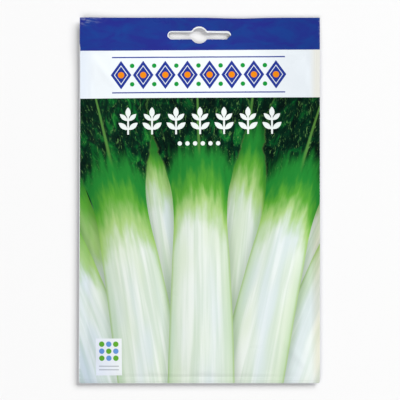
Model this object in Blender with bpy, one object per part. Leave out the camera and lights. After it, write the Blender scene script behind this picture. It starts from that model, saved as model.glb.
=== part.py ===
"""A sealed seed packet lying on its back.

Two webs of printed laminate are heat-sealed together round all four sides. The deep seal at the top is
the header, punched through with a hang slot for a display peg. Loose seeds lie in the pouch between them.
X runs across the packet, Y from its foot to its hanging edge, and Z up off the surface it lies on.
"""

import math
import random

import bmesh
import bpy
import numpy as np
from mathutils import Euler, Matrix, Vector

# Driving dimensions, in metres
WIDTH = 0.1200
HEIGHT = 0.1822
FILM = 0.0003
SEAL_GAP = 0.0003
SIDE_SEAL = 0.0040
FOOT_SEAL = 0.0033
HEADER = 0.0156

# How the filled packet lies: its back flattened on the surface, its seals a little above it
SEAL_LIFT = 0.0020
HEADER_LIFT = 0.0015
SETTLE_RUN = 0.0160
BULGE = 0.0025
BULGE_FOOT = 0.55
BULGE_HEAD = 0.80
BULGE_SIDES = 0.80

# The hang slot, a round hole with a wing on each side, and the smaller one punched askew in the back web
SLOT_DROP = 0.0088
SLOT_WIDTH = 0.0316
SLOT_WING = 0.0042
SLOT_ROUND = 0.0043
SLOT_FILLET = 0.0010
BACK_SLOT_INSET = 0.00045
BACK_SLOT_DROP = 0.0003
BACK_SLOT_TURN = math.radians(-0.9)
SLOT_ARC_STEP = math.radians(15)
CUTTER_FOOT = -0.0040
CUTTER_TOP = 0.0100

# Grid lines across the pouch, and along it
COLUMNS = 20
ROWS = 28
HEADER_ROWS = 3

# The seeds. The rings are shares of a seed's half length
SEED_LENGTH = 0.0066
SEED_WIDTH = 0.0024
SEED_DEPTH = 0.0019
SEED_SIDES = 4
SEED_BEND = 0.0004
SEED_RINGS = (-0.55, 0.0, 0.55)
SEED_COLOUR = (0.46, 0.42, 0.22)

# The heap that they lie in: its size, its height, and how the top seeds are strewn over it
HEAP_CENTRE_Y = -0.0380
HEAP_ACROSS = 0.0280
HEAP_ALONG = 0.0240
HEAP_TOP = 0.0014
HEAP_RIM = 0.0007
HEAP_SIDES = 20
HEAP_RINGS = (1.0, 0.72, 0.4)
ROW_PITCH = 0.0031
SEED_PITCH = 0.0046
SEED_STRAY = 0.2
SEED_ROLL = 0.3
SEED_TILT = 0.16
SEED_RISE = 0.0003
LAST_SEED = 1.03
RANDOM_SEED = 7

# Colours of the laminate
PRINT_COLOUR = (0.62, 0.74, 0.60)
BACK_COLOUR = (0.86, 0.88, 0.88)

# Derived edges of the pouch, inside the seals
POUCH_SIDE = WIDTH / 2 - SIDE_SEAL
POUCH_FOOT = -HEIGHT / 2 + FOOT_SEAL
POUCH_HEAD = HEIGHT / 2 - HEADER
SLOT_Y = HEIGHT / 2 - SLOT_DROP


def clear_scene():
    """Removes whatever objects the file holds."""
    for thing in list(bpy.data.objects):
        bpy.data.objects.remove(thing)


def make_material(name, colour, roughness, metallic=0.0):
    """A Principled material with one colour."""
    material = bpy.data.materials.new(name)
    material.use_nodes = True
    shader = material.node_tree.nodes["Principled BSDF"]
    shader.inputs["Base Color"].default_value = (*colour, 1.0)
    shader.inputs["Roughness"].default_value = roughness
    shader.inputs["Metallic"].default_value = metallic
    return material


def make_object(name, mesh, material=None):
    """Links a mesh to the scene as one named object."""
    thing = bpy.data.objects.new(name, mesh)
    if material:
        mesh.materials.append(material)
    bpy.context.scene.collection.objects.link(thing)
    return thing


def ease(t):
    """0 below 0, 1 above 1, and a smooth step between them."""
    t = np.clip(t, 0.0, 1.0)
    return t * t * (3 - 2 * t)


def seal_plane(y):
    """Underside of the back web where it is sealed: level, then drooping a little along the header."""
    return SEAL_LIFT + (HEADER_LIFT - SEAL_LIFT) * ease((y - POUCH_HEAD) / HEADER)


def back_height(x, y):
    """Underside of the back web: it comes down from the seals and lies flat where the fill presses on it."""
    across = ease((POUCH_SIDE - np.abs(x)) / SETTLE_RUN)
    along = ease(np.minimum(y - POUCH_FOOT, POUCH_HEAD - y) / SETTLE_RUN)
    return seal_plane(y) * (1 - across * along)


def front_height(x, y):
    """Underside of the front web: one gap above the sealed back web, domed over the pouch and fullest low down."""
    u = np.clip(x / POUCH_SIDE, -1, 1)
    v = np.clip((y - POUCH_FOOT) / (POUCH_HEAD - POUCH_FOOT), 0, 1)
    fullest = BULGE_FOOT / (BULGE_FOOT + BULGE_HEAD)
    most = fullest**BULGE_FOOT * (1 - fullest) ** BULGE_HEAD
    dome = (1 - u * u) ** BULGE_SIDES * v**BULGE_FOOT * (1 - v) ** BULGE_HEAD / most
    return seal_plane(y) + FILM + SEAL_GAP + BULGE * dome


def grid_lines():
    """Where the grid's lines cross X and Y: the packet's edges, the seals' inner edges and even steps between."""
    across = np.linspace(-POUCH_SIDE, POUCH_SIDE, COLUMNS + 1)
    along = np.linspace(POUCH_FOOT, POUCH_HEAD, ROWS + 1)
    header = np.linspace(POUCH_HEAD, HEIGHT / 2, HEADER_ROWS + 1)[1:]
    return (
        np.concatenate([[-WIDTH / 2], across, [WIDTH / 2]]),
        np.concatenate([[-HEIGHT / 2], along, header]),
    )


def web_mesh(name, height):
    """One web's lower face: a grid over the packet's outline, raised to height(x, y)."""
    xs, ys = grid_lines()
    x, y = (a.ravel() for a in np.meshgrid(xs, ys))
    corner = np.arange(len(xs) * len(ys)).reshape(len(ys), len(xs))
    quads = np.stack(
        [corner[:-1, :-1], corner[:-1, 1:], corner[1:, 1:], corner[1:, :-1]], axis=-1
    ).reshape(-1, 4)
    mesh = bpy.data.meshes.new(name)
    mesh.from_pydata(np.stack([x, y, height(x, y)], axis=-1).tolist(), [], quads.tolist())
    mesh.update()
    return mesh


def arc(centre, radius, start, end):
    """Points along an arc, both ends included."""
    steps = max(2, math.ceil(abs(end - start) / SLOT_ARC_STEP))
    angles = [start + (end - start) * i / steps for i in range(steps + 1)]
    return [(centre[0] + radius * math.cos(a), centre[1] + radius * math.sin(a)) for a in angles]


def slot_quarter(inset):
    """The slot's outline in its first quarter, from the wing's tip to the top of the round hole."""
    wing = SLOT_WING / 2 - inset
    tip = (SLOT_WIDTH / 2 - inset - wing, 0.0)
    hole = SLOT_ROUND - inset
    rise = wing + SLOT_FILLET
    run = math.sqrt((hole + SLOT_FILLET) ** 2 - rise**2)
    meets = math.atan2(rise, run)
    return (
        arc(tip, wing, 0, math.pi / 2)
        + arc((run, rise), SLOT_FILLET, -math.pi / 2, meets - math.pi)
        + arc((0.0, 0.0), hole, meets, math.pi / 2)[1:]
    )


def slot_outline(inset):
    """The whole slot, from its first quarter mirrored across both axes."""
    first = slot_quarter(inset)
    half = first + [(-x, y) for x, y in reversed(first[:-1])]
    return half + [(-x, -y) for x, y in half[1:-1]]


def make_slot_cutter(name, inset, drop, turn):
    """A prism of the slot's outline that stands through the header. It is a cutter and isn't built."""
    shape = bmesh.new()
    foot = [shape.verts.new((x, y, CUTTER_FOOT)) for x, y in slot_outline(inset)]
    face = shape.faces.new(foot)
    lifted = bmesh.ops.extrude_face_region(shape, geom=[face])["geom"]
    top = [v for v in lifted if isinstance(v, bmesh.types.BMVert)]
    bmesh.ops.translate(shape, verts=top, vec=(0, 0, CUTTER_TOP - CUTTER_FOOT))
    bmesh.ops.recalc_face_normals(shape, faces=shape.faces[:])
    mesh = bpy.data.meshes.new(name)
    shape.to_mesh(mesh)
    shape.free()
    mesh.transform(Matrix.Translation((0, SLOT_Y - drop, 0)) @ Matrix.Rotation(turn, 4, "Z"))
    cutter = make_object(name, mesh)
    cutter.hide_render = True
    cutter.display_type = "WIRE"
    return cutter


def make_web(name, height, inset, drop, turn, material):
    """A web of film of even thickness, grown upwards from its lower face, with the hang slot cut through it."""
    web = make_object(name, web_mesh(name, height), material)
    film = web.modifiers.new("film", "SOLIDIFY")
    film.thickness = FILM
    film.offset = 1.0
    slot = web.modifiers.new("hang slot", "BOOLEAN")
    slot.operation = "DIFFERENCE"
    slot.object = make_slot_cutter(name + "_slot_cutter", inset, drop, turn)
    web.data.shade_smooth()
    return web


def seed_shape():
    """One seed: a bent spindle with a flat-sided section, along X, as a bmesh."""
    shape = bmesh.new()
    rings = []
    for place in SEED_RINGS:
        girth = math.sqrt(1 - place * place)
        middle = Vector((place * SEED_LENGTH / 2, 0, -SEED_BEND * place * place))
        ring = []
        for i in range(SEED_SIDES):
            turn = 2 * math.pi * (i + 0.5) / SEED_SIDES
            out = Vector((0, math.cos(turn) * SEED_WIDTH / 2, math.sin(turn) * SEED_DEPTH / 2))
            ring.append(shape.verts.new(middle + out * girth))
        rings.append(ring)
    for lower, upper in zip(rings, rings[1:]):
        for i in range(SEED_SIDES):
            j = (i + 1) % SEED_SIDES
            shape.faces.new((lower[i], lower[j], upper[j], upper[i]))
    for ring, end in ((rings[0], -1), (rings[-1], 1)):
        tip = shape.verts.new((end * SEED_LENGTH / 2, 0, -SEED_BEND))
        for i in range(SEED_SIDES):
            shape.faces.new((ring[i], ring[(i + 1) % SEED_SIDES], tip))
    bmesh.ops.recalc_face_normals(shape, faces=shape.faces[:])
    return shape


def heap_share(x, y):
    """How far a point is from the heap's middle, as a share of the way to its rim."""
    return math.hypot(x / HEAP_ACROSS, (y - HEAP_CENTRE_Y) / HEAP_ALONG)


def heap_height(x, y):
    """Top of the heap: fullest in the middle and thinning to its rim."""
    return HEAP_RIM + (HEAP_TOP - HEAP_RIM) * (1 - min(1.0, heap_share(x, y)) ** 2)


def seed_places():
    """Where each seed lies and how it is turned: staggered rows over the heap, each seed strayed and turned at random."""
    draw = random.Random(RANDOM_SEED)
    places = []
    rows = math.ceil(HEAP_ALONG / ROW_PITCH)
    columns = math.ceil(HEAP_ACROSS / SEED_PITCH)
    for row in range(-rows, rows + 1):
        for column in range(-columns, columns + 1):
            x = (column + 0.5 * (row % 2) + draw.uniform(-SEED_STRAY, SEED_STRAY)) * SEED_PITCH
            y = HEAP_CENTRE_Y + (row + draw.uniform(-SEED_STRAY, SEED_STRAY)) * ROW_PITCH
            roll = draw.uniform(-SEED_ROLL, SEED_ROLL)
            tilt = draw.uniform(-SEED_TILT, SEED_TILT)
            turn = Euler((roll, tilt, draw.uniform(0, math.pi)))
            if heap_share(x, y) < LAST_SEED:
                places.append((x, y, turn))
    return places


def make_heap_core(floor):
    """The low mound under the top seeds, a squashed dome with a flat foot."""
    shape = bmesh.new()
    foot = []
    rings = []
    for share in HEAP_RINGS:
        ring = []
        for i in range(HEAP_SIDES):
            turn = 2 * math.pi * i / HEAP_SIDES
            x = HEAP_ACROSS * share * math.cos(turn)
            y = HEAP_CENTRE_Y + HEAP_ALONG * share * math.sin(turn)
            ring.append(shape.verts.new((x, y, floor + heap_height(x, y))))
            if share == HEAP_RINGS[0]:
                foot.append(shape.verts.new((x, y, floor)))
        rings.append(ring)
    for lower, upper in zip([foot] + rings, rings):
        for i in range(HEAP_SIDES):
            j = (i + 1) % HEAP_SIDES
            shape.faces.new((lower[i], lower[j], upper[j], upper[i]))
    shape.faces.new(foot)
    shape.faces.new(rings[-1])
    bmesh.ops.recalc_face_normals(shape, faces=shape.faces[:])
    mesh = bpy.data.meshes.new("heap")
    shape.to_mesh(mesh)
    shape.free()
    return mesh


def keep_outer_shell(mesh):
    """Removes the small pockets that seeds close in between them, so one shell is left."""
    shape = bmesh.new()
    shape.from_mesh(mesh)
    unseen = set(shape.verts)
    shells = []
    while unseen:
        shell = []
        reached = [unseen.pop()]
        while reached:
            vert = reached.pop()
            shell.append(vert)
            near = {edge.other_vert(vert) for edge in vert.link_edges} & unseen
            unseen -= near
            reached.extend(near)
        shells.append(shell)
    shells.sort(key=len)
    pockets = [vert for shell in shells[:-1] for vert in shell]
    bmesh.ops.delete(shape, geom=pockets, context="VERTS")
    shape.to_mesh(mesh)
    shape.free()


def make_seeds(material):
    """The seeds as one body: each seed of the top layer is sunk a little in the heap's core and joined to it."""
    floor = FILM + SEAL_GAP
    seeds = make_object("seeds", make_heap_core(floor), material)
    loose = bpy.data.collections.new("loose seeds")
    spindle = seed_shape()
    for x, y, turn in seed_places():
        mesh = bpy.data.meshes.new("seed")
        spindle.to_mesh(mesh)
        place = Vector((x, y, floor + heap_height(x, y) + SEED_RISE))
        mesh.transform(Matrix.Translation(place) @ turn.to_matrix().to_4x4())
        loose.objects.link(bpy.data.objects.new("seed", mesh))
    spindle.free()
    join = seeds.modifiers.new("join the seeds", "BOOLEAN")
    join.operation = "UNION"
    join.operand_type = "COLLECTION"
    join.collection = loose
    bpy.context.view_layer.update()
    whole = bpy.data.meshes.new_from_object(seeds.evaluated_get(bpy.context.evaluated_depsgraph_get()))
    keep_outer_shell(whole)
    seeds.modifiers.clear()
    seeds.data = whole
    for seed in list(loose.objects):
        bpy.data.objects.remove(seed)
    bpy.data.collections.remove(loose)
    return seeds


def main():
    """Builds the packet."""
    clear_scene()
    printed = make_material("printed laminate", PRINT_COLOUR, 0.38)
    plain = make_material("back laminate", BACK_COLOUR, 0.42)
    husk = make_material("seed husk", SEED_COLOUR, 0.75)
    make_web("front_web", front_height, 0.0, 0.0, 0.0, printed)
    make_web("back_web", back_height, BACK_SLOT_INSET, BACK_SLOT_DROP, BACK_SLOT_TURN, plain)
    make_seeds(husk)


main()
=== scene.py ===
"""Finish of a sealed seed packet lying on its back, printed face up.

The two films are worked out again from the packet's own formulas, with the fine relief of a filled pouch,
and the print is drawn in the shader, in millimetres from the packet's centre.
"""

import math
import random

import bmesh
import bpy
import numpy as np
from mathutils import Euler, Matrix

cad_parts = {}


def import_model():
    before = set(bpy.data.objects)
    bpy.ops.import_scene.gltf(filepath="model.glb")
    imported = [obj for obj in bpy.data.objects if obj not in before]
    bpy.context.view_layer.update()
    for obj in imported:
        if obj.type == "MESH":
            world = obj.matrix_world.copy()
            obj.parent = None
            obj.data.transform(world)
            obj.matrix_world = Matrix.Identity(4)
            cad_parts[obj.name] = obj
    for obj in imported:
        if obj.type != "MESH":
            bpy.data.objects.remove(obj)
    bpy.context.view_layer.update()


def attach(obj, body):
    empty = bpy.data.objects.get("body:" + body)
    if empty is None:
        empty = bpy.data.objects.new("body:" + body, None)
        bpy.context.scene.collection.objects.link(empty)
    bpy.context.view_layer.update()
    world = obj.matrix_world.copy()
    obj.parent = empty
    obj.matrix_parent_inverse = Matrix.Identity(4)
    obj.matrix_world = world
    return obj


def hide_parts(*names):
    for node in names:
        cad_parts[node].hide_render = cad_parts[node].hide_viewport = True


# The packet's driving dimensions in metres, the same as in its solids
WIDTH = 0.1200
HEIGHT = 0.1822
FILM = 0.0003
SEAL_GAP = 0.0003
SIDE_SEAL = 0.0040
FOOT_SEAL = 0.0033
HEADER = 0.0156
SEAL_LIFT = 0.0020
HEADER_LIFT = 0.0015
SETTLE_RUN = 0.0160
BULGE = 0.0025
BULGE_FOOT = 0.55
BULGE_HEAD = 0.80
BULGE_SIDES = 0.80
SLOT_DROP = 0.0088
SLOT_WIDTH = 0.0316
SLOT_WING = 0.0042
SLOT_ROUND = 0.0043
SLOT_FILLET = 0.0010
BACK_SLOT_TURN = math.radians(-0.9)
POUCH_SIDE = WIDTH / 2 - SIDE_SEAL
POUCH_FOOT = -HEIGHT / 2 + FOOT_SEAL
POUCH_HEAD = HEIGHT / 2 - HEADER
SLOT_Y = HEIGHT / 2 - SLOT_DROP

# The films as shown: thinner than the solids, and pressed together at the seals
SHEET = 0.00010
SEALED = 0.00021
PILLOW = BULGE + 2 * FILM + SEAL_GAP - SEALED
SEAL_CELLS = 10
POUCH_COLUMNS = 120
POUCH_ROWS = 176
HEADER_ROWS = 22
SLOT_ARC_STEP = math.radians(6)
CUTTER_FOOT = -0.0040
CUTTER_TOP = 0.0100
SHARP_FROM = math.radians(50)
# The back film's slot, under 0.1 mm off the solids', so that its white lip shows only at the top and the ends
BACK_SLOT_INSET = 0.00038
BACK_SLOT_DROP = 0.00037

# How the films' outline departs from a true rectangle
LEFT_TAPER = 0.0006
TOP_TRIM = 0.00016
TOP_DIP = 0.00045
TOP_DIP_X = 0.0196
TOP_DIP_RUN = 0.0125
FRONT_SHY = 0.00028
CORNER_ROUND = 0.0009
FOOT_CURL = 0.0005

# The relief of the pouch: puckers as two sines each along the sides and the ends, and one slow swell
RELIEF_RUN = 0.0070
PUCKER = 0.00016
PUCKER_START = 0.0030
PUCKER_REACH = 0.0110
SIDE_WAVES = (0.0031, 0.0053)
END_WAVES = (0.0036, 0.0061)
SECOND_WAVE = 0.7
SWELL = 0.00010
SWELL_ACROSS = 0.0125
SWELL_ALONG = 0.0190
# The relief of the header: a wave, a sag at each of the slot's wings and a curled upper left corner
HEADER_EDGE_RUN = 0.0030
HEADER_WAVE = 0.00012
HEADER_WAVE_LENGTH = 0.0940
HEADER_WAVE_START = 0.9
SLOT_SAG = 0.0010
SLOT_SAG_X = 0.0105
SLOT_SAG_ACROSS = 0.0085
SLOT_SAG_ALONG = 0.0058
CURL = 0.0009
CURL_ACROSS = 0.0140
CURL_ALONG = 0.0190
# Soft creases: middle x and y, turn in degrees, half length, half width and height
CREASES = (
    (-0.0500, -0.0790, 42, 0.0150, 0.0016, 0.00022),
    (0.0490, -0.0780, -40, 0.0170, 0.0018, 0.00024),
    (0.0470, 0.0660, 38, 0.0190, 0.0020, 0.00020),
    (-0.0480, 0.0640, -36, 0.0180, 0.0018, 0.00018),
    (-0.0530, -0.0305, 12, 0.0045, 0.0010, -0.00020),
    (-0.0535, -0.0130, -14, 0.0050, 0.0011, -0.00018),
    (0.0530, -0.0540, 10, 0.0060, 0.0010, -0.00016),
)

# The loose seeds, and the heap that they lie in, all but the fineness as in the solids
SEED_LENGTH = 0.0066
SEED_WIDTH = 0.0024
SEED_DEPTH = 0.0019
SEED_BEND = 0.0004
SEED_TIP = 0.004
SEED_SWELL = 0.7
SEED_RIB_DEPTH = 0.14
SEED_STEPS = 5
SEED_ROUND = 10
SEED_RIBS = 5
HEAP_CENTRE_Y = -0.0380
HEAP_ACROSS = 0.0280
HEAP_ALONG = 0.0240
HEAP_TOP = 0.0014
HEAP_RIM = 0.0007
ROW_PITCH = 0.0031
SEED_PITCH = 0.0046
SEED_STRAY = 0.2
SEED_ROLL = 0.3
SEED_TILT = 0.16
SEED_RISE = 0.0003
LAST_SEED = 1.03
RANDOM_SEED = 7

# The share of light that bare white film gives back, and that the floor does
WHITENESS = 0.85
FLOOR_WHITENESS = 0.75

# The print, in millimetres from the packet's centre
PER_METRE = 1000.0
HALF_ACROSS = WIDTH / 2 * PER_METRE
HALF_ALONG = HEIGHT / 2 * PER_METRE
PRINT_SKEW = math.radians(0.34)
BAND_FOOT = 74.65
PICTURE_HEAD = 50.9
INK_SOFT = 0.08
LENS_SOFT = 0.12
# How softly a row's designs begin and end, in numbers of cells
CELL_SOFT = 0.01

# The pressed relief: ribs on the seals, each from none to full between two places, and an orange peel
RIB_PITCH = 1.2
RIB_HEIGHT = 0.014
SIDE_RIBS_FROM = (56.0, 56.4)
FOOT_RIBS_FROM = (-87.8, -88.1)
PEEL_HEIGHT = 0.010

# The frieze. Each rim is the two radii between which a disc's ink goes from none to full.
FRIEZE_Y = 62.4
FRIEZE_PITCH = 11.0
FRIEZE_RULE = (8.5, 9.1)
FRIEZE_END = 43.0
LOZENGE = (5.2, 7.2)
LOZENGE_HOLLOW = (0.60, 0.68)
DISC_RIM = (1.65, 1.5)
SMALL_DISC_RIM = (1.2, 1.05)
SMALL_DISC_UP = 4.6
SMALL_DISC_END = 40.0

# The sprigs, with their leaves as middle, turn in degrees, length and width, and the dots under them
SPRIG_X = 0.6
SPRIG_Y = 39.4
SPRIG_PITCH = 11.9
SPRIG_STEM = (0.52, 0.38)
SPRIG_STEM_ENDS = (-6.6, 3.0)
SPRIG_LEAVES = (
    ((0.0, 4.3, 0.0), 0, 5.4, 2.7),
    ((2.2, 1.9, 0.0), 48, 5.2, 2.3),
    ((2.5, -2.5, 0.0), 52, 5.8, 2.6),
)
DOT_Y = 28.2
DOT_PITCH = 3.8
DOT_RIM = (1.15, 0.98)

# The label, its own places being from its middle
LABEL_X = -45.4
LABEL_Y = -77.6
LABEL_DOT_UP = 2.9
LABEL_DOT_PITCH = 3.5
LABEL_DOT_RIM = (1.45, 1.28)
LABEL_RULES = (-4.6, -6.4)
LABEL_RULE_HALF = 0.22
LABEL_RULE_END = 5.0

# The picture's fan of leaves. Each row, from the back, says how many leaves it has, how far apart they are at
# the foot, how many degrees apart they lean, their length, their width, the share of the length at which
# they turn green, and how deep in the shade the row is.
FAN_ROWS = (
    (5, 13.0, 12.5, 196.0, 42.0, 0.67, 1.0),
    (4, 19.0, 12.0, 186.0, 47.0, 0.66, 0.5),
    (5, 23.0, 8.5, 174.0, 52.0, 0.64, 0.0),
)
FAN_SEED = 5
FAN_FOOT = -101.0
FAN_FOOT_RISE = 0.8
FAN_SHORTENING = 2.4
FAN_BEND = 9.0
FAN_FRESHNESS = 0.035
# Each leaf hands the place on to the next, moved by this share of its own colour, which is too little to see.
# So the renderer takes the leaves one after another, and doesn't run out of room for their values.
HOLD = 1e-7

# The back film's print
MONTH_Y = 54.0
MONTH_PITCH = 8.2
LINE_PITCH = 6.4
BOX_X = 25.0
BOX_Y = -64.0
BOX_HALF_WIDTH = 23.0
BOX_HALF_HEIGHT = 11.0
BORDER = 7.5

# The stage. Each lamp has a name, a place, a size and a power, and says whether it shows in a gloss.
FLOOR_SIZE = 6.0
FLOOR_DROP = 0.0002
SKY = 0.12
LAMPS = (
    ("key", (6.50, 7.50, 5.00), 9.00, 3005.0, False),
    ("fill", (-1.50, -4.50, 5.00), 6.00, 375.0, False),
    ("sheen", (-1.20, 1.00, 2.20), 0.90, 3.0, True),
)
CAMERA_PLACE = (0.00035, 0.00015, 0.5550)
CAMERA_LENS = 100.0
CAMERA_SENSOR = 36.0


def ease(t):
    """0 below 0, 1 above 1, and a smooth step between them."""
    t = np.clip(t, 0.0, 1.0)
    return t * t * (3 - 2 * t)


def bell(distance, reach):
    """1 at no distance, and fading as exp(-(distance / reach)^2)."""
    return np.exp(-((distance / reach) ** 2))


def tint(red, green, blue):
    """A colour as scene values, from its 0 to 255 screen values, for multiplying another."""
    shares = (v / 255 for v in (red, green, blue))
    return tuple(((v + 0.055) / 1.055) ** 2.4 if v > 0.04 else v / 12.92 for v in shares) + (1.0,)


def ink(red, green, blue):
    """A printed colour: a screen colour, less the light that even bare white film keeps back."""
    return tuple(WHITENESS * v for v in tint(red, green, blue)[:3]) + (1.0,)


# Inks and films
BLUE = ink(36, 56, 148)
WHITE = ink(238, 244, 248)
ORANGE = ink(240, 140, 20)
GREEN = ink(20, 150, 60)
DESIGN_WHITE = ink(236, 242, 240)


def rest_level(x, y):
    """Underside of the sealed films: level, drooping and waved along the header, curled down at the foot.

    It also sags at each of the slot's wings, and its upper left corner curls up, each by a bell.
    """
    head = ease((y - POUCH_HEAD) / HEADER)
    wave = HEADER_WAVE * np.sin(2 * math.pi * x / HEADER_WAVE_LENGTH + HEADER_WAVE_START)
    foot = np.clip((POUCH_FOOT - y) / FOOT_SEAL, 0, 1) ** 2
    wing = bell(np.abs(x) - SLOT_SAG_X, SLOT_SAG_ACROSS) * bell(y - SLOT_Y, SLOT_SAG_ALONG)
    sag = SLOT_SAG * wing * ease((y - POUCH_HEAD) / HEADER_EDGE_RUN)
    curl = CURL * bell(x + WIDTH / 2, CURL_ACROSS) * bell(y - HEIGHT / 2, CURL_ALONG)
    return SEAL_LIFT + (HEADER_LIFT - SEAL_LIFT + wave) * head - FOOT_CURL * foot - sag + curl


def settled(x, y):
    """0 on the seals, rising to 1 where the fill has pressed the back film flat."""
    across = ease((POUCH_SIDE - np.abs(x)) / SETTLE_RUN)
    along = ease(np.minimum(y - POUCH_FOOT, POUCH_HEAD - y) / SETTLE_RUN)
    return across * along


def back_level(x, y):
    """Underside of the back film: it comes down from the seals to lie on the floor."""
    return rest_level(x, y) * (1 - settled(x, y))


def pillow(x, y):
    """The filled pouch's dome, from 0 at the seals to 1 at its fullest, low down."""
    u = np.clip(x / POUCH_SIDE, -1, 1)
    v = np.clip((y - POUCH_FOOT) / (POUCH_HEAD - POUCH_FOOT), 0, 1)
    fullest = BULGE_FOOT / (BULGE_FOOT + BULGE_HEAD)
    most = fullest**BULGE_FOOT * (1 - fullest) ** BULGE_HEAD
    return (1 - u * u) ** BULGE_SIDES * v**BULGE_FOOT * (1 - v) ** BULGE_HEAD / most


def puckers(x, y):
    """Small waves along each seal's inner edge: two sines run along it, and fade away from it."""
    side = POUCH_SIDE - np.abs(x)
    end = np.minimum(y - POUCH_FOOT, POUCH_HEAD - y)
    short_side, long_side = SIDE_WAVES
    short_end, long_end = END_WAVES
    along_side = np.sin(y / short_side + 0.7 * np.sign(x)) + SECOND_WAVE * np.sin(y / long_side + 2.1)
    along_end = np.sin(x / short_end + 1.3) + SECOND_WAVE * np.sin(x / long_end + 0.4)
    near_side = ease(side / PUCKER_START) * np.exp(-side / PUCKER_REACH)
    near_end = ease(end / PUCKER_START) * np.exp(-end / PUCKER_REACH)
    return PUCKER * (along_side * near_side + along_end * near_end)


def creases(x, y):
    """Soft ridges and dents: each is a bell across its line, and fades to nothing at the line's ends."""
    height = np.zeros_like(x)
    for middle_x, middle_y, degrees, half_length, half_width, rise in CREASES:
        turn = math.radians(degrees)
        along = (x - middle_x) * math.sin(turn) + (y - middle_y) * math.cos(turn)
        across = (x - middle_x) * math.cos(turn) - (y - middle_y) * math.sin(turn)
        height += rise * bell(across, half_width) * ease(1 - np.abs(along) / half_length)
    return height


def front_level(x, y):
    """Top of the front film: the sealed films' thickness over the seals, then the pillow and its relief."""
    inside = ease((POUCH_SIDE - np.abs(x)) / RELIEF_RUN)
    inside = inside * ease(np.minimum(y - POUCH_FOOT, POUCH_HEAD - y) / RELIEF_RUN)
    swell = SWELL * np.sin(x / SWELL_ACROSS + 0.6) * np.sin(y / SWELL_ALONG + 1.2)
    relief = puckers(x, y) * ease(inside * 3) + swell * inside + creases(x, y) * ease(inside * 4)
    return rest_level(x, y) + SEALED + PILLOW * pillow(x, y) + relief


def film_lines():
    """Where the films' grid lines cross X and Y, closer together over the seals."""
    side = np.linspace(-WIDTH / 2, -POUCH_SIDE, SEAL_CELLS + 1)
    middle = np.linspace(-POUCH_SIDE, POUCH_SIDE, POUCH_COLUMNS + 1)
    foot = np.linspace(-HEIGHT / 2, POUCH_FOOT, SEAL_CELLS + 1)
    pouch = np.linspace(POUCH_FOOT, POUCH_HEAD, POUCH_ROWS + 1)
    header = np.linspace(POUCH_HEAD, HEIGHT / 2, HEADER_ROWS + 1)
    return np.concatenate([side, middle[1:-1], -side[::-1]]), np.concatenate([foot, pouch[1:], header[1:]])


def rounded(x, y):
    """The two foot corners made round.

    Each corner's square (u, v) becomes (u sqrt(1 - v^2 / 2), v sqrt(1 - u^2 / 2)).
    """
    u = np.clip((np.abs(x) - WIDTH / 2) / CORNER_ROUND + 1, 0, 1)
    v = np.clip((-y - HEIGHT / 2) / CORNER_ROUND + 1, 0, 1)
    x = x - np.sign(x) * CORNER_ROUND * u * (1 - np.sqrt(1 - v * v / 2))
    y = y + CORNER_ROUND * v * (1 - np.sqrt(1 - u * u / 2))
    return x, y


def trimmed(x, y, shy):
    """The outline's small faults: the left edge leans in towards the top, and the top edge dips once.

    A shy film stays a little inside the other one along the left of the pouch.
    """
    x, y = rounded(x, y)
    left = np.clip(-x / (WIDTH / 2), 0, 1)
    pouch = 1 - ease((y - POUCH_HEAD) / HEADER_EDGE_RUN)
    x = x + left * (LEFT_TAPER * (y / HEIGHT + 0.5) + shy * pouch)
    drop = TOP_TRIM + TOP_DIP * bell(x - TOP_DIP_X, TOP_DIP_RUN)
    return x, y - drop * ease((y - POUCH_HEAD) / HEADER)


def film_mesh(name, level, shy, looks_up):
    """A film's printed face, looking up or down: a grid over its outline, at level(x, y), trimmed."""
    xs, ys = film_lines()
    x, y = (a.ravel() for a in np.meshgrid(xs, ys))
    z = level(x, y)
    x, y = trimmed(x, y, shy)
    corner = np.arange(len(xs) * len(ys)).reshape(len(ys), len(xs))
    ring = (corner[:-1, :-1], corner[:-1, 1:], corner[1:, 1:], corner[1:, :-1])
    quads = np.stack(ring, axis=-1).reshape(-1, 4)
    quads = quads if looks_up else quads[:, ::-1]
    mesh = bpy.data.meshes.new(name)
    mesh.from_pydata(np.stack([x, y, z], axis=-1).tolist(), [], quads.tolist())
    mesh.update()
    return mesh


def add_piece(name, mesh, *materials):
    """Links a mesh to the scene as one named piece with its materials."""
    piece = bpy.data.objects.new(name, mesh)
    for material in materials:
        mesh.materials.append(material)
    bpy.context.scene.collection.objects.link(piece)
    return piece


def arc(centre, radius, start, end):
    """Points along an arc, both ends included."""
    steps = max(2, math.ceil(abs(end - start) / SLOT_ARC_STEP))
    angles = [start + (end - start) * i / steps for i in range(steps + 1)]
    return [(centre[0] + radius * math.cos(a), centre[1] + radius * math.sin(a)) for a in angles]


def slot_outline(inset, pointed):
    """The hang slot's outline: wing tip, fillet and round hole for one quarter, mirrored across both axes.

    A pointed one has its lower right corner cut off by a line that climbs at 45 degrees to its right end.
    """
    wing = SLOT_WING / 2 - inset
    hole = SLOT_ROUND - inset
    rise = wing + SLOT_FILLET
    run = math.sqrt((hole + SLOT_FILLET) ** 2 - rise**2)
    meets = math.atan2(rise, run)
    first = arc((SLOT_WIDTH / 2 - inset - wing, 0.0), wing, 0, math.pi / 2)
    first += arc((run, rise), SLOT_FILLET, -math.pi / 2, meets - math.pi)
    first += arc((0.0, 0.0), hole, meets, math.pi / 2)[1:]
    half = first + [(-x, y) for x, y in reversed(first[:-1])]
    whole = half + [(-x, -y) for x, y in half[1:-1]]
    if pointed:
        whole = [(x, max(y, x - SLOT_WIDTH / 2)) for x, y in whole]
    return whole


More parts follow.
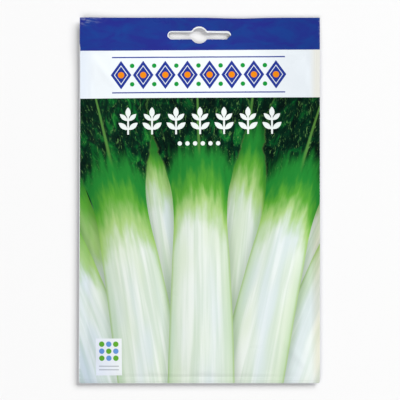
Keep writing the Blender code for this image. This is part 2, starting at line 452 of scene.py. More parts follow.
def slot_cutter(inset, drop, turn, pointed, material):
    """A prism of the slot's outline that stands through the header, to be cut away and then removed."""
    shape = bmesh.new()
    foot = [shape.verts.new((x, y, CUTTER_FOOT)) for x, y in slot_outline(inset, pointed)]
    face = shape.faces.new(foot)
    lifted = bmesh.ops.extrude_face_region(shape, geom=[face])["geom"]
    top = [v for v in lifted if isinstance(v, bmesh.types.BMVert)]
    bmesh.ops.translate(shape, verts=top, vec=(0, 0, CUTTER_TOP - CUTTER_FOOT))
    bmesh.ops.recalc_face_normals(shape, faces=shape.faces[:])
    mesh = bpy.data.meshes.new("slot_cutter")
    shape.to_mesh(mesh)
    shape.free()
    mesh.transform(Matrix.Translation((0, SLOT_Y - drop, 0)) @ Matrix.Rotation(turn, 4, "Z"))
    return add_piece("slot_cutter", mesh, material)


def finish_film(name, level, shy, looks_up, slot_fit, printed, core):
    """One film: its printed face given a thickness behind it, with the hang slot cut out."""
    film = add_piece(name, film_mesh(name, level, shy, looks_up), printed, core)
    wall = film.modifiers.new("wall", "SOLIDIFY")
    wall.thickness = SHEET
    wall.offset = -1.0
    wall.material_offset = 1
    wall.material_offset_rim = 1
    cutter = slot_cutter(*slot_fit, core)
    slot = film.modifiers.new("slot", "BOOLEAN")
    slot.operation = "DIFFERENCE"
    slot.solver = "MANIFOLD"
    slot.object = cutter
    bpy.context.view_layer.update()
    whole = bpy.data.meshes.new_from_object(film.evaluated_get(bpy.context.evaluated_depsgraph_get()))
    film.modifiers.clear()
    film.data = whole
    bpy.data.objects.remove(cutter)
    whole.shade_smooth()
    whole.set_sharp_from_angle(angle=SHARP_FROM)
    return film


def heap_share(x, y):
    """How far a point is from the heap's middle, as a share of the way to its rim."""
    return math.hypot(x / HEAP_ACROSS, (y - HEAP_CENTRE_Y) / HEAP_ALONG)


def heap_height(x, y):
    """Top of the heap: fullest in the middle and thinning to its rim."""
    return HEAP_RIM + (HEAP_TOP - HEAP_RIM) * (1 - min(1.0, heap_share(x, y)) ** 2)


def seed_places():
    """The solids' own seeds, each as a matrix: staggered rows over the heap, strayed and turned at random."""
    draw = random.Random(RANDOM_SEED)
    floor = FILM + SEAL_GAP
    places = []
    rows = math.ceil(HEAP_ALONG / ROW_PITCH)
    columns = math.ceil(HEAP_ACROSS / SEED_PITCH)
    for row in range(-rows, rows + 1):
        for column in range(-columns, columns + 1):
            x = (column + 0.5 * (row % 2) + draw.uniform(-SEED_STRAY, SEED_STRAY)) * SEED_PITCH
            y = HEAP_CENTRE_Y + (row + draw.uniform(-SEED_STRAY, SEED_STRAY)) * ROW_PITCH
            roll = draw.uniform(-SEED_ROLL, SEED_ROLL)
            tilt = draw.uniform(-SEED_TILT, SEED_TILT)
            turn = Euler((roll, tilt, draw.uniform(0, math.pi)))
            if heap_share(x, y) < LAST_SEED:
                place = Matrix.Translation((x, y, floor + heap_height(x, y) + SEED_RISE))
                places.append(np.array(place @ turn.to_matrix().to_4x4()))
    return np.array(places)


def seed_grid():
    """One seed's points, along by around, and how near each lies to the top of a rib.

    It is a spindle whose girth is sin(pi t)^SEED_SWELL, with shallow ribs and both ends bent down.
    """
    around = np.arange(SEED_ROUND) * 2 * math.pi / SEED_ROUND
    t, turn = np.meshgrid(np.linspace(SEED_TIP, 1 - SEED_TIP, SEED_STEPS + 1), around, indexing="ij")
    rib = 0.5 + 0.5 * np.cos(SEED_RIBS * turn)
    girth = np.sin(math.pi * t) ** SEED_SWELL * (1 - SEED_RIB_DEPTH + SEED_RIB_DEPTH * rib)
    x = (t - 0.5) * SEED_LENGTH
    y = girth * np.cos(turn) * SEED_WIDTH / 2
    z = girth * np.sin(turn) * SEED_DEPTH / 2 - SEED_BEND * (2 * t - 1) ** 2
    return np.stack([x, y, z], axis=-1).reshape(-1, 3), rib.ravel()


def seed_fill(husk):
    """The loose seeds as one piece: a ribbed spindle at each place of the solids' seeds."""
    points, rib = seed_grid()
    places = seed_places()
    spread = np.einsum("sij,pj->spi", places[:, :3, :3], points) + places[:, None, :3, 3]
    step, side = np.meshgrid(np.arange(SEED_STEPS), np.arange(SEED_ROUND), indexing="ij")
    after = (side + 1) % SEED_ROUND
    near = step * SEED_ROUND
    far = near + SEED_ROUND
    quads = np.stack([near + side, near + after, far + after, far + side], axis=-1).reshape(-1, 4)
    first = np.arange(SEED_ROUND)[::-1]
    ends = np.stack([first, np.arange(SEED_ROUND) + SEED_STEPS * SEED_ROUND])
    starts = (np.arange(len(places)) * len(points))[:, None, None]
    faces = (quads[None] + starts).reshape(-1, 4).tolist()
    faces += (ends[None] + starts).reshape(-1, SEED_ROUND).tolist()
    mesh = bpy.data.meshes.new("loose_seeds")
    mesh.from_pydata(spread.reshape(-1, 3).tolist(), [], faces)
    mesh.attributes.new("rib", "FLOAT", "POINT").data.foreach_set("value", np.tile(rib, len(places)))
    mesh.shade_smooth()
    mesh.update()
    return add_piece("loose_seeds", mesh, husk)


class Graph:
    """Adds nodes to one shader tree. Each method returns the new node's output."""

    def __init__(self, tree):
        """Takes the tree that it adds to."""
        self.tree = tree

    def feed(self, socket, value):
        """Links an output to an input, or sets the input's own value."""
        if isinstance(value, bpy.types.NodeSocket):
            self.tree.links.new(value, socket)
        else:
            socket.default_value = value

    def node(self, kind, inputs, **settings):
        """A node with its settings and inputs."""
        made = self.tree.nodes.new(kind)
        for name, setting in settings.items():
            setattr(made, name, setting)
        for key, value in inputs.items():
            self.feed(made.inputs[key], value)
        return made

    def maths(self, operation, *values, clamp=False):
        """A Math node."""
        made = self.node("ShaderNodeMath", dict(enumerate(values)), operation=operation, use_clamp=clamp)
        return made.outputs[0]

    def add(self, a, b):
        """The sum of two values."""
        return self.maths("ADD", a, b)

    def take(self, a, b):
        """One value less another."""
        return self.maths("SUBTRACT", a, b)

    def times(self, a, b):
        """The product of two values."""
        return self.maths("MULTIPLY", a, b)

    def size(self, a):
        """A value without its sign."""
        return self.maths("ABSOLUTE", a)

    def step(self, value, low, high):
        """A smooth step from 0 at low to 1 at high. Low may be the greater one."""
        inputs = {"Value": value, "From Min": low, "From Max": high}
        return self.node("ShaderNodeMapRange", inputs, interpolation_type="SMOOTHSTEP").outputs[0]

    def between(self, value, low, high, soft):
        """1 between low and high, with soft edges."""
        rise = self.step(value, low - soft, low + soft)
        fall = self.step(value, high + soft, high - soft)
        return self.times(rise, fall)

    def above(self, value, limit):
        """1 above a limit, with an edge as soft as the print's."""
        return self.step(value, limit - INK_SOFT, limit + INK_SOFT)

    def below(self, value, limit):
        """1 below a limit, with an edge as soft as the print's."""
        return self.step(value, limit + INK_SOFT, limit - INK_SOFT)

    def mix(self, share, under, over, blend="MIX"):
        """Colour mixed by a share."""
        made = self.node("ShaderNodeMix", {0: share, 6: under, 7: over}, data_type="RGBA", blend_type=blend)
        return made.outputs[2]

    def point(self, x=0.0, y=0.0, z=0.0):
        """A vector from its parts."""
        return self.node("ShaderNodeCombineXYZ", {0: x, 1: y, 2: z}).outputs[0]

    def split(self, place):
        """A vector's x and y."""
        made = self.node("ShaderNodeSeparateXYZ", {0: place})
        return made.outputs[0], made.outputs[1]

    def reach(self, x, y):
        """Distance of (x, y) from (0, 0)."""
        return self.node("ShaderNodeVectorMath", {0: self.point(x, y)}, operation="LENGTH").outputs["Value"]

    def shift(self, place, by):
        """One vector less another."""
        return self.node("ShaderNodeVectorMath", {0: place, 1: by}, operation="SUBTRACT").outputs[0]

    def join(self, place, other):
        """The sum of two vectors."""
        return self.node("ShaderNodeVectorMath", {0: place, 1: other}, operation="ADD").outputs[0]

    def stretch(self, place, by):
        """A vector with each part multiplied by another's."""
        return self.node("ShaderNodeVectorMath", {0: place, 1: by}, operation="MULTIPLY").outputs[0]

    def turn(self, place, angle):
        """A vector turned about Z."""
        made = self.node("ShaderNodeVectorRotate", {"Vector": place, "Angle": angle}, rotation_type="Z_AXIS")
        return made.outputs[0]

    def noise(self, place, scale, detail=2.0, roughness=0.5, distortion=0.0):
        """A noise between 0 and 1."""
        inputs = {"Vector": place, "Scale": scale, "Detail": detail, "Roughness": roughness}
        inputs["Distortion"] = distortion
        return self.node("ShaderNodeTexNoise", inputs).outputs["Fac"]

    def ramp(self, share, *stops):
        """A colour ramp from (place, colour) stops."""
        made = self.node("ShaderNodeValToRGB", {0: share})
        band = made.color_ramp
        while len(band.elements) < len(stops):
            band.elements.new(0.5)
        for element, (place, colour) in zip(band.elements, stops):
            element.position = place
            element.color = colour
        return made.outputs[0]

    def curve(self, value, *points):
        """A curve through (value, result) points."""
        made = self.node("ShaderNodeFloatCurve", {"Value": value})
        line = made.mapping.curves[0]
        for i, (x, y) in enumerate(points):
            if i < 2:
                line.points[i].location = (x, y)
            else:
                line.points.new(x, y)
        made.mapping.update()
        return made.outputs[0]

    def group(self, tree, **inputs):
        """A placed node group, with its outputs."""
        made = self.tree.nodes.new("ShaderNodeGroup")
        made.node_tree = tree
        for name, value in inputs.items():
            self.feed(made.inputs[name], value)
        return made.outputs


def new_group(name, inputs, outputs):
    """An empty node group with named sockets: its graph, its inputs and its outputs."""
    kinds = {"value": "NodeSocketFloat", "place": "NodeSocketVector", "colour": "NodeSocketColor"}
    tree = bpy.data.node_groups.new(name, "ShaderNodeTree")
    for label, kind in inputs.items():
        tree.interface.new_socket(name=label, in_out="INPUT", socket_type=kinds[kind])
    for label, kind in outputs.items():
        tree.interface.new_socket(name=label, in_out="OUTPUT", socket_type=kinds[kind])
    enter = tree.nodes.new("NodeGroupInput")
    leave = tree.nodes.new("NodeGroupOutput")
    return Graph(tree), enter.outputs, leave.inputs


def lens_group():
    """A pointed oval: a mask of where a place lies inside it.

    Inside, the distance across is under half the width times 1 - (along / half the length)^2.
    """
    g, given, result = new_group(
        "lens",
        {"Place": "place", "Middle": "place", "Turn": "value", "Length": "value", "Width": "value"},
        {"Mask": "value"},
    )
    place = g.turn(g.shift(given["Place"], given["Middle"]), given["Turn"])
    across, along = g.split(place)
    share = g.maths("DIVIDE", along, g.times(given["Length"], 0.5))
    swell = g.take(1.0, g.times(share, share))
    reach = g.take(g.times(g.times(given["Width"], 0.5), swell), g.size(across))
    g.feed(result["Mask"], g.step(reach, 0.0, LENS_SOFT))
    return g.tree


def leaf_group():
    """One pale-stalked leaf laid over what lies under it.

    Along runs from the root to the tip and across from the midrib to the edge, both bent by a share of along
    squared. The half width follows a curve: an even stalk that opens into a broad blade with a crinkled edge.
    """
    g, given, result = new_group(
        "pale-stalked leaf",
        {
            "Under": "colour", "Place": "place", "Root": "place", "Lean": "value", "Length": "value",
            "Width": "value", "Bend": "value", "Neck": "value", "Depth": "value", "Fresh": "value",
            "Draw": "value",
        },
        {"Over": "colour", "Onward": "place"},
    )
    place = g.turn(g.shift(given["Place"], given["Root"]), given["Lean"])
    sideways, upwards = g.split(place)
    along = g.maths("DIVIDE", upwards, given["Length"])
    across = g.take(sideways, g.times(given["Bend"], g.times(along, along)))

    blade = g.step(along, g.take(given["Neck"], 0.02), g.add(given["Neck"], 0.14))
    each_side = g.times(g.maths("SIGN", across), 3.0)
    crinkle = g.noise(g.point(g.times(along, 26.0), each_side, given["Draw"]), 1.0, 2.0)
    outline = g.curve(
        along, (0.0, 0.66), (1.0, 0.0), (0.20, 0.62), (0.40, 0.56), (0.56, 0.52), (0.66, 0.64), (0.76, 0.88),
        (0.85, 0.96), (0.93, 0.76), (0.985, 0.34),
    )
    outline = g.add(outline, g.times(g.times(g.take(crinkle, 0.5), 0.26), blade))
    half = g.times(g.times(given["Width"], 0.5), outline)
    spare = g.take(half, g.size(across))
    inside = g.times(g.step(spare, 0.0, 0.22), g.between(along, 0.0, 1.0, 0.002))
    shadow = g.times(g.step(spare, -4.5, 0.5), g.between(along, 0.0, 1.02, 0.03))
    side = g.maths("DIVIDE", across, g.maths("MAXIMUM", half, 0.5))
    out = g.size(side)

    # The stalk: white, ribbed along its own outline, greener towards its edges
    ribs = g.noise(g.point(g.times(side, 5.2), g.times(along, 2.0), given["Draw"]), 1.0, 3.0, 0.55, 0.15)
    broad = g.noise(g.point(g.times(side, 1.6), g.times(along, 3.4), given["Draw"]), 1.0, 1.0)
    pale = g.mix(g.step(ribs, 0.34, 0.66), ink(208, 223, 207), ink(236, 242, 236))
    pale = g.mix(g.times(g.step(broad, 0.45, 0.68), 0.6), pale, ink(217, 228, 236))
    pale = g.mix(g.times(g.step(broad, 0.46, 0.28), 0.4), pale, ink(214, 229, 196))
    pale = g.mix(g.times(g.step(out, 0.5, 1.0), 0.62), pale, ink(184, 212, 168))
    pale = g.mix(g.times(g.step(spare, 1.6, 0.1), 0.62), pale, ink(146, 182, 92))

    # The blade: feathery and dark, flecked with light along its slanting side veins, with a soft midrib
    tone = g.noise(g.point(g.times(across, 0.22), g.times(along, 19.0), given["Draw"]), 1.0, 4.0, 0.6, 0.8)
    green = g.ramp(
        g.add(tone, given["Fresh"]), (0.34, ink(0, 18, 14)), (0.53, ink(1, 42, 25)), (0.65, ink(8, 92, 36)),
        (0.78, ink(50, 148, 56)),
    )
    slant = g.take(g.times(along, 62.0), g.times(g.size(across), 0.55))
    flecks = g.noise(g.point(g.times(across, 0.9), slant, given["Draw"]), 1.0, 4.0, 0.68, 1.1)
    green = g.mix(g.times(g.step(flecks, 0.57, 0.68), 0.62), green, ink(112, 168, 88))
    spine = g.step(g.size(across), g.take(3.6, g.times(along, 3.3)), 0.2)
    green = g.mix(g.times(spine, 0.62), green, ink(104, 164, 74))
    green = g.mix(g.times(g.step(spare, 1.2, 0.0), 0.4), green, ink(98, 150, 70))

    # The turn from stalk to blade: yellow green, then a clear green, both kept ribbed by the stalk under them
    mottle = g.noise(g.point(g.times(across, 0.34), g.times(along, 11.0), given["Draw"]), 1.0, 3.0)
    turning = g.add(g.take(along, given["Neck"]), g.times(g.take(mottle, 0.5), 0.13))
    turning = g.add(turning, g.times(g.times(out, out), 0.07))
    start = g.take(-0.16, g.times(g.maths("MAXIMUM", given["Fresh"], 0.0), 2.6))
    fresh = g.mix(g.times(g.step(turning, start, g.add(start, 0.10)), 0.85), pale, ink(158, 200, 100))
    fresh = g.mix(g.times(g.step(turning, g.add(start, 0.08), -0.01), 0.9), fresh, ink(76, 160, 36))
    fresh = g.mix(g.times(g.step(turning, -0.03, 0.04), 0.85), fresh, ink(4, 124, 48))
    leaf = g.mix(g.step(turning, 0.04, 0.12), fresh, green)

    # Roundness: each leaf is a little darker to its left, and the deeper it lies
    roundness = g.add(g.times(g.step(side, 0.3, -1.0), 0.16), g.times(given["Depth"], 0.20))
    leaf = g.mix(roundness, leaf, tint(104, 140, 104), blend="MULTIPLY")
    shaded = g.mix(g.times(shadow, 0.34), given["Under"], tint(104, 138, 96), blend="MULTIPLY")
    over = g.mix(inside, shaded, leaf)
    g.feed(result["Over"], over)
    g.feed(result["Onward"], g.join(given["Place"], g.stretch(over, (HOLD, HOLD, HOLD))))
    return g.tree


def print_place(g):
    """Print coordinates: millimetres from the packet's centre, turned by the print's skew."""
    coordinates = g.node("ShaderNodeTexCoord", {})
    made = g.node(
        "ShaderNodeMapping",
        {
            "Vector": coordinates.outputs["Object"], "Rotation": (0, 0, -PRINT_SKEW),
            "Scale": (PER_METRE, PER_METRE, PER_METRE),
        },
    )
    return made.outputs[0]


def leaf_fan():
    """The picture's leaves from the back, each row's outer ones first, as inputs of the leaf group."""
    draw = random.Random(FAN_SEED)
    leaves = []
    for count, spread, lean, length, width, neck, depth in FAN_ROWS:
        middle = (count - 1) / 2
        places = sorted(range(count), key=lambda i: -abs(i - middle) + 0.1 * i)
        for i in places:
            k = i - middle
            leaves.append(
                {
                    "Root": (k * spread + draw.uniform(-1, 1), FAN_FOOT + FAN_FOOT_RISE * k * k, 0.0),
                    "Lean": math.radians(k * lean + draw.uniform(-1.5, 1.5)),
                    "Length": length - FAN_SHORTENING * k * k + draw.uniform(-3, 3),
                    "Width": width + draw.uniform(-2, 2),
                    "Bend": k * FAN_BEND + draw.uniform(-5, 5),
                    "Neck": neck + draw.uniform(-0.015, 0.015),
                    "Depth": depth,
                    "Fresh": draw.uniform(-0.03, 0.07) - FAN_FRESHNESS * k,
                    "Draw": draw.uniform(0, 40),
                }
            )
    return leaves


def picture(g, place):
    """The printed picture: a dark feathery ground, a pale floor low down, and the fan of leaves over them."""
    x, y = g.split(place)
    fine = g.noise(g.stretch(place, (0.55, 0.38, 1.0)), 1.0, 6.0, 0.72, 1.6)
    slow = g.noise(place, 0.045, 2.0)
    ground = g.ramp(
        fine, (0.30, ink(1, 24, 16)), (0.48, ink(3, 44, 28)), (0.60, ink(14, 74, 38)),
        (0.74, ink(64, 120, 62)),
    )
    ground = g.mix(g.times(g.step(slow, 0.45, 0.7), 0.5), ground, ink(3, 52, 44))
    floor = g.mix(g.noise(place, 0.03, 1.0), ink(214, 224, 232), ink(226, 231, 236))
    height = g.add(y, g.times(g.noise(place, 0.08, 2.0), 10.0))
    picture_ink = g.mix(g.step(height, -8.0, 6.0), floor, ground)
    leaf = leaf_group()
    for inputs in leaf_fan():
        laid = g.group(leaf, Under=picture_ink, Place=place, **inputs)
        picture_ink = laid["Over"]
        place = laid["Onward"]
    return picture_ink, place


def cells(g, value, middle, pitch):
    """Distance from the middle of a row's nearest cell, and its number, counted from the cell at middle."""
    shifted = g.maths("DIVIDE", g.take(value, middle), pitch)
    number = g.maths("ROUND", shifted)
    return g.times(g.take(shifted, number), pitch), number


def sprig_row(g, place, lens):
    """A mask of seven white sprigs in a row, each a stem with two pairs of leaves and one at its top."""
    x, y = g.split(place)
    near, number = cells(g, x, SPRIG_X, SPRIG_PITCH)
    up = g.take(y, SPRIG_Y)
    half = g.point(g.size(near), up)
    mask = g.times(g.step(g.size(near), *SPRIG_STEM), g.between(up, *SPRIG_STEM_ENDS, 0.06))
    for middle, degrees, length, width in SPRIG_LEAVES:
        turn = math.radians(degrees)
        oval = g.group(lens, Place=half, Middle=middle, Turn=turn, Length=length, Width=width)
        mask = g.maths("MAXIMUM", mask, oval["Mask"])
    return g.times(mask, g.between(number, -3.5, 3.5, CELL_SOFT))


def dot_row(g, place):
    """A mask of six small dots in a row under the sprigs."""
    x, y = g.split(place)
    near, number = cells(g, x, DOT_PITCH / 2, DOT_PITCH)
    away = g.reach(near, g.take(y, DOT_Y))
    return g.times(g.step(away, *DOT_RIM), g.between(number, -3.5, 2.5, CELL_SOFT))


def frieze(g, place, under):
    """A frieze of blue lozenges with orange discs, and green ones where they meet, between two thin rules."""
    x, y = g.split(place)
    near, number = cells(g, x, FRIEZE_PITCH / 2, FRIEZE_PITCH)
    up = g.take(y, FRIEZE_Y)
    inside = g.between(number, -4.5, 3.5, CELL_SOFT)
    half_width, half_height = LOZENGE
    lozenge = g.add(g.maths("DIVIDE", g.size(near), half_width), g.maths("DIVIDE", g.size(up), half_height))
    blue = g.step(lozenge, 1.0, 0.975)
    hollow = g.between(lozenge, *LOZENGE_HOLLOW, 0.012)
    disc = g.step(g.reach(near, up), *DISC_RIM)
    small = g.reach(g.take(FRIEZE_PITCH / 2, g.size(near)), g.take(SMALL_DISC_UP, g.size(up)))
    small = g.times(g.step(small, *SMALL_DISC_RIM), g.between(x, -SMALL_DISC_END, SMALL_DISC_END, 0.02))
    rule = g.times(g.between(g.size(up), *FRIEZE_RULE, 0.05), g.between(x, -FRIEZE_END, FRIEZE_END, 0.02))
    colour = g.mix(g.times(blue, inside), under, BLUE)
    colour = g.mix(g.times(hollow, inside), colour, under)
    colour = g.mix(g.times(disc, inside), colour, ORANGE)
    colour = g.mix(small, colour, GREEN)
    return g.mix(rule, colour, BLUE)


def label(g, place, under):
    """A small white label low on the left: a grid of three by three dots over two thin grey rules."""
    x, y = g.split(place)
    x = g.take(x, LABEL_X)
    y = g.take(y, LABEL_Y)
    card = g.times(g.step(g.size(x), 6.55, 6.4), g.step(g.size(y), 9.3, 9.15))
    colour = g.mix(g.times(card, 0.92), under, ink(240, 243, 246))
    near_x, column = cells(g, x, 0.0, LABEL_DOT_PITCH)
    near_y, row = cells(g, y, LABEL_DOT_UP, LABEL_DOT_PITCH)
    grid = g.times(g.between(column, -1.5, 1.5, CELL_SOFT), g.between(row, -1.5, 1.5, CELL_SOFT))
    parity = g.maths("PINGPONG", g.add(column, row), 1.0)
    dot = g.mix(parity, ink(96, 170, 48), ink(104, 152, 214))
    away = g.reach(near_x, near_y)
    colour = g.mix(g.times(g.step(away, *LABEL_DOT_RIM), grid), colour, dot)
    for level in LABEL_RULES:
        thin = g.between(y, level - LABEL_RULE_HALF, level + LABEL_RULE_HALF, 0.05)
        rule = g.times(thin, g.step(g.size(x), LABEL_RULE_END, LABEL_RULE_END - 0.1))
        colour = g.mix(g.times(rule, 0.6), colour, ink(92, 98, 108))
    return colour


def principled(name, roughness, specular):
    """A material with its Principled shader, and a graph to feed it."""
    material = bpy.data.materials.new(name)
    material.use_nodes = True
    shader = material.node_tree.nodes["Principled BSDF"]
    shader.inputs["Roughness"].default_value = roughness
    shader.inputs["Specular IOR Level"].default_value = specular
    return material, shader, Graph(material.node_tree)


def pressed_group():
    """Height of a film's fine relief: ribs across the side and foot seals, and an orange peel."""
    g, given, result = new_group("pressed film", {"Place": "place"}, {"Height": "value"})
    x, y = g.split(given["Place"])
    side = g.step(g.size(x), *SIDE_RIBS_FROM)
    foot = g.step(y, *FOOT_RIBS_FROM)
    uneven = g.noise(g.stretch(given["Place"], (1.0, 0.12, 1.0)), 0.5, 2.0)
    rib_x = g.times(g.maths("SINE", g.times(x, 2 * math.pi / RIB_PITCH)), g.step(uneven, 0.35, 0.6))
    rib_y = g.maths("SINE", g.times(y, 2 * math.pi / RIB_PITCH))
    ribs = g.add(g.times(rib_x, side), g.times(rib_y, foot))
    peel = g.noise(given["Place"], 0.9, 2.0)
    g.feed(result["Height"], g.add(g.times(ribs, RIB_HEIGHT), g.times(peel, PEEL_HEIGHT)))
    return g.tree


def rubbed_group():
    """Ink rubbed off to the white base, where a noise is high, at a film's sides, foot and one corner."""
    g, given, result = new_group(
        "rubbed ink", {"Place": "place", "Ink": "colour", "Wear": "value"}, {"Ink": "colour"}
    )
    x, y = g.split(given["Place"])
    edge = g.maths("MINIMUM", g.take(HALF_ACROSS, g.size(x)), g.add(y, HALF_ALONG))
    corner = g.reach(g.times(g.add(x, HALF_ACROSS), 0.3), g.take(HALF_ALONG, y))
    grain = g.noise(given["Place"], 1.1, 3.0, 0.6)
    scratch = g.noise(g.stretch(g.turn(given["Place"], 0.1), (0.30, 1.6, 1.0)), 1.0, 3.0, 0.6)
    on_left = g.add(g.times(g.step(x, 40.0, -30.0), 0.9), 0.1)
    at_edge = g.times(g.times(g.step(edge, 0.30, 0.08), g.step(grain, 0.46, 0.62)), on_left)
    at_corner = g.times(g.times(g.step(corner, 5.0, 0.5), g.step(scratch, 0.44, 0.68)), 0.32)
    worn = g.times(g.maths("MAXIMUM", at_edge, at_corner), given["Wear"])
    g.feed(result["Ink"], g.mix(worn, given["Ink"], ink(226, 232, 240)))
    return g.tree


def finish_laminate(g, shader, place, colour, pressed, rubbed):
    """Feeds a film's shader: the inks, rubbed at its edges, a cloudy gloss and the pressed relief."""
    g.feed(shader.inputs["Base Color"], g.group(rubbed, Place=place, Ink=colour, Wear=1.0)["Ink"])
    cloud = g.noise(place, 0.05, 3.0)
    g.feed(shader.inputs["Roughness"], g.add(g.times(cloud, 0.16), 0.22))
    height = g.group(pressed, Place=print_place(g))["Height"]
    bump = g.node("ShaderNodeBump", {"Strength": 1.0, "Distance": 0.001, "Height": height})
    g.feed(shader.inputs["Normal"], bump.outputs[0])


def printed_laminate(pressed, rubbed):
    """The front film: white base, blue header, frieze, picture and the small designs on it.

    It is tinted warm down its right rim; painted shade makes it cool at its left and foot and a little grey
    on the right.
    """
    material, shader, g = principled("printed_laminate", 0.30, 0.25)
    place = print_place(g)
    image, place = picture(g, place)
    x, y = g.split(place)
    lens = lens_group()
    mottle = g.noise(g.stretch(place, (0.7, 1.5, 1.0)), 0.085, 5.0, 0.62, 0.6)
    blue = g.mix(g.step(mottle, 0.32, 0.66), ink(27, 64, 144), ink(37, 45, 137))
    base = frieze(g, place, WHITE)
    image = g.mix(sprig_row(g, place, lens), image, DESIGN_WHITE)
    image = g.mix(dot_row(g, place), image, DESIGN_WHITE)
    image = label(g, place, image)
    colour = g.mix(g.below(y, PICTURE_HEAD), base, image)
    colour = g.mix(g.above(y, BAND_FOOT), colour, blue)

    strip = g.times(g.step(x, 54.6, 58.8), g.below(y, BAND_FOOT))
    warm = g.mix(g.times(strip, 0.9), colour, tint(247, 240, 226), blend="MULTIPLY")
    # Painted shade: a cool darkening along the left rim and over the lower left, standing in for film that
    # faces away from the light
    low_left_painted_shade = g.times(g.step(x, -34.0, -56.0), g.step(y, -36.0, -92.0))
    left_painted_shade = g.maths("MAXIMUM", g.times(g.step(x, -50.0, -58.6), 0.4), g.times(low_left_painted_shade, 0.9))
    cool_painted_shade = g.mix(left_painted_shade, warm, tint(224, 230, 246), blend="MULTIPLY")
    # Painted shade: a grey darkening over the upper right, against the light that the pillow's right slope
    # catches from the key lamp
    right_painted_shade = g.times(g.take(g.step(x, 16.0, 52.0), g.times(strip, 0.6)), g.step(y, 20.0, 52.0))
    grey_painted_shade = g.mix(g.times(right_painted_shade, 0.75), cool_painted_shade, tint(233, 234, 236), blend="MULTIPLY")
    finish_laminate(g, shader, place, grey_painted_shade, pressed, rubbed)
    return material


def plain_laminate(pressed, rubbed):
    """The back film's outside: blue round twelve month cells, blank ruled lines and two blank boxes."""
    material, shader, g = principled("back_laminate", 0.30, 0.25)
    place = print_place(g)
    x, y = g.split(place)
    near_x, column = cells(g, x, MONTH_PITCH / 2, MONTH_PITCH)
    cell = g.times(g.step(g.size(near_x), 3.75, 3.6), g.step(g.size(g.take(y, MONTH_Y)), 4.6, 4.45))
    cell = g.times(cell, g.between(column, -6.5, 5.5, CELL_SOFT))
    sow = g.times(cell, g.between(column, -4.5, -1.5, CELL_SOFT))
    pick = g.times(cell, g.between(column, 0.5, 3.5, CELL_SOFT))
    colour = g.mix(g.times(cell, 0.8), WHITE, ink(206, 214, 224))
    colour = g.mix(sow, colour, GREEN)
    colour = g.mix(pick, colour, ORANGE)
    near_y, row = cells(g, y, 0.0, LINE_PITCH)
    line = g.times(g.step(g.size(near_y), 0.28, 0.18), g.between(row, -6.5, 5.5, CELL_SOFT))
    line = g.times(line, g.step(g.size(x), 48.2, 48.0))
    colour = g.mix(g.times(line, 0.55), colour, ink(120, 130, 146))
    box_x = g.take(g.size(g.take(g.size(x), BOX_X)), BOX_HALF_WIDTH)
    box_y = g.take(g.size(g.take(y, BOX_Y)), BOX_HALF_HEIGHT)
    colour = g.mix(g.between(g.maths("MAXIMUM", box_x, box_y), -0.30, 0.0, 0.05), colour, BLUE)
    edge = g.maths("MINIMUM", g.take(HALF_ACROSS, g.size(x)), g.add(y, HALF_ALONG))
    border = g.maths("MAXIMUM", g.below(edge, BORDER), g.above(y, BAND_FOOT))
    finish_laminate(g, shader, place, g.mix(border, colour, BLUE), pressed, rubbed)
    return material


def seed_husk():
    """Dry husk: olive brown between pale ribs, with a mottle."""
    material, shader, g = principled("seed_husk", 0.75, 0.3)
    coordinates = g.node("ShaderNodeTexCoord", {})
    rib = g.node("ShaderNodeAttribute", {}, attribute_name="rib").outputs["Fac"]
    mottle = g.noise(coordinates.outputs["Object"], 420.0, 3.0)
    husk = g.mix(mottle, ink(112, 104, 62), ink(146, 134, 86))
    g.feed(shader.inputs["Base Color"], g.mix(g.times(rib, 0.8), husk, ink(204, 194, 148)))
    return material


def film_core():
    """The unprinted inside and cut edges of both films."""
    material, shader, g = principled("film_core", 0.5, 0.3)
    coordinates = g.node("ShaderNodeTexCoord", {})
    fibre = g.noise(coordinates.outputs["Object"], 900.0, 3.0)
    g.feed(shader.inputs["Base Color"], g.mix(fibre, ink(228, 232, 234), ink(246, 248, 250)))
    return material


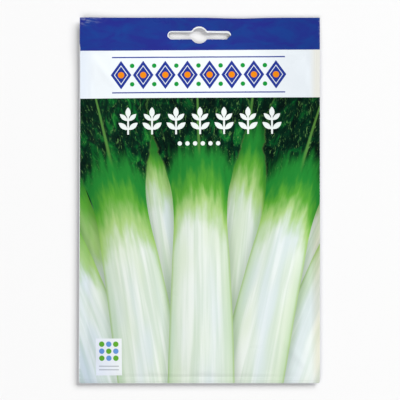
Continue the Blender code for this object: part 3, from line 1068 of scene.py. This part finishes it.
def floor_material():
    """A plain pale floor."""
    material, shader, g = principled("floor", 0.9, 0.1)
    shader.inputs["Base Color"].default_value = (FLOOR_WHITENESS,) * 3 + (1.0,)
    return material


def add_lamp(name, place, size, power, gleams):
    """A square area lamp that hangs level and shines down. One that doesn't gleam has no reflection."""
    light = bpy.data.lights.new(name, "AREA")
    light.size = size
    light.energy = power
    lamp = bpy.data.objects.new(name, light)
    lamp.location = place
    lamp.visible_glossy = gleams
    bpy.context.scene.collection.objects.link(lamp)


def make_stage():
    """The floor, the lights and the camera above the packet."""
    bpy.ops.mesh.primitive_plane_add(size=FLOOR_SIZE, location=(0, 0, -FLOOR_DROP))
    floor = bpy.context.active_object
    floor.name = "floor"
    floor.data.materials.append(floor_material())

    world = bpy.data.worlds.new("studio")
    world.use_nodes = True
    world.node_tree.nodes["Background"].inputs["Color"].default_value = (1.0, 1.0, 1.0, 1.0)
    world.node_tree.nodes["Background"].inputs["Strength"].default_value = SKY
    bpy.context.scene.world = world
    for lamp in LAMPS:
        add_lamp(*lamp)

    lens = bpy.data.cameras.new("camera")
    lens.lens = CAMERA_LENS
    lens.sensor_width = CAMERA_SENSOR
    camera = bpy.data.objects.new("camera", lens)
    camera.location = CAMERA_PLACE
    bpy.context.scene.collection.objects.link(camera)
    bpy.context.scene.camera = camera
    bpy.context.scene.view_settings.view_transform = "Standard"
    bpy.context.scene.view_settings.look = "None"


def main():
    """Dresses the packet."""
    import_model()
    make_stage()
    pressed = pressed_group()
    rubbed = rubbed_group()
    printed = printed_laminate(pressed, rubbed)
    plain = plain_laminate(pressed, rubbed)
    core = film_core()
    front = finish_film("front_film", front_level, FRONT_SHY, True, (0.0, 0.0, 0.0, True), printed, core)
    askew = (BACK_SLOT_INSET, BACK_SLOT_DROP, BACK_SLOT_TURN, False)
    back = finish_film("back_film", back_level, 0.0, False, askew, plain, core)
    loose = seed_fill(seed_husk())
    for piece, node, slot in (
        (front, "front_web", "printed_laminate"),
        (back, "back_web", "back_laminate"),
        (loose, "seeds", "seed_husk"),
    ):
        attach(piece, "root")
        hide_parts(node)


main()
